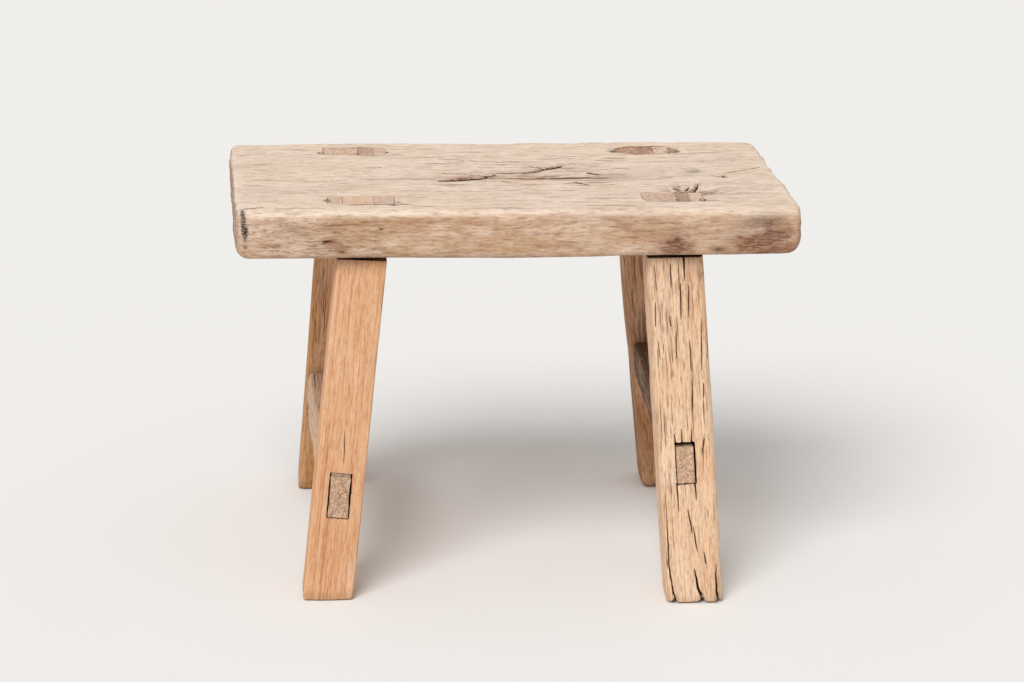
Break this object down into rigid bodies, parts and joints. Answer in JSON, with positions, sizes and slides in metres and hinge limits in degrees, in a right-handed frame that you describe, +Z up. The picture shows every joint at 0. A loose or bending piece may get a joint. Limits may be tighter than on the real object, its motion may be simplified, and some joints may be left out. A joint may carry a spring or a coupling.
{
  "type": "milking stool",
  "caption": "Small wooden milking stool: a thick plank seat on four splayed legs through-tenoned and wedged, with an end stretcher on each side.",
  "frame": {"origin": "on the floor, under the middle of the stool's bounding box", "axes": "+X along the seat's length to the right, +Y to the back, +Z up; the front, with the wider view of the feet, faces -Y"},
  "size_m": [0.4074, 0.2875, 0.281],
  "materials": {
    "seat_wood": "bare, bleached and worn smooth, with drying cracks along the grain",
    "leg_front_left_wood": "bare, warm orange-tan, fine straight grain",
    "leg_back_left_wood": "bare, brown, dull",
    "leg_front_right_wood": "bare, pale tan, weathered, with dark checks along the grain",
    "leg_back_right_wood": "bare, brown, with long dark cracks",
    "stretcher_wood": "bare, grey-brown, weathered",
    "wedge_wood": "bare end grain, grey-tan, crushed and dirty"
  },
  "bodies": {
    "root": {"seat_board": "seat_wood", "leg_front_left": "leg_front_left_wood", "leg_back_left": "leg_back_left_wood", "leg_front_right": "leg_front_right_wood", "leg_back_right": "leg_back_right_wood", "stretcher_left": "stretcher_wood", "stretcher_right": "stretcher_wood", "seat_wedge_front_left_1": "wedge_wood", "seat_wedge_front_left_2": "wedge_wood", "seat_wedge_back_left_1": "wedge_wood", "seat_wedge_back_left_2": "wedge_wood", "seat_wedge_front_right_1": "wedge_wood", "seat_wedge_front_right_2": "wedge_wood", "seat_wedge_back_right_1": "wedge_wood", "seat_wedge_back_right_2": "wedge_wood", "stretcher_wedge_front_left": "wedge_wood", "stretcher_wedge_back_left": "wedge_wood"}
  },
  "joints": []
}
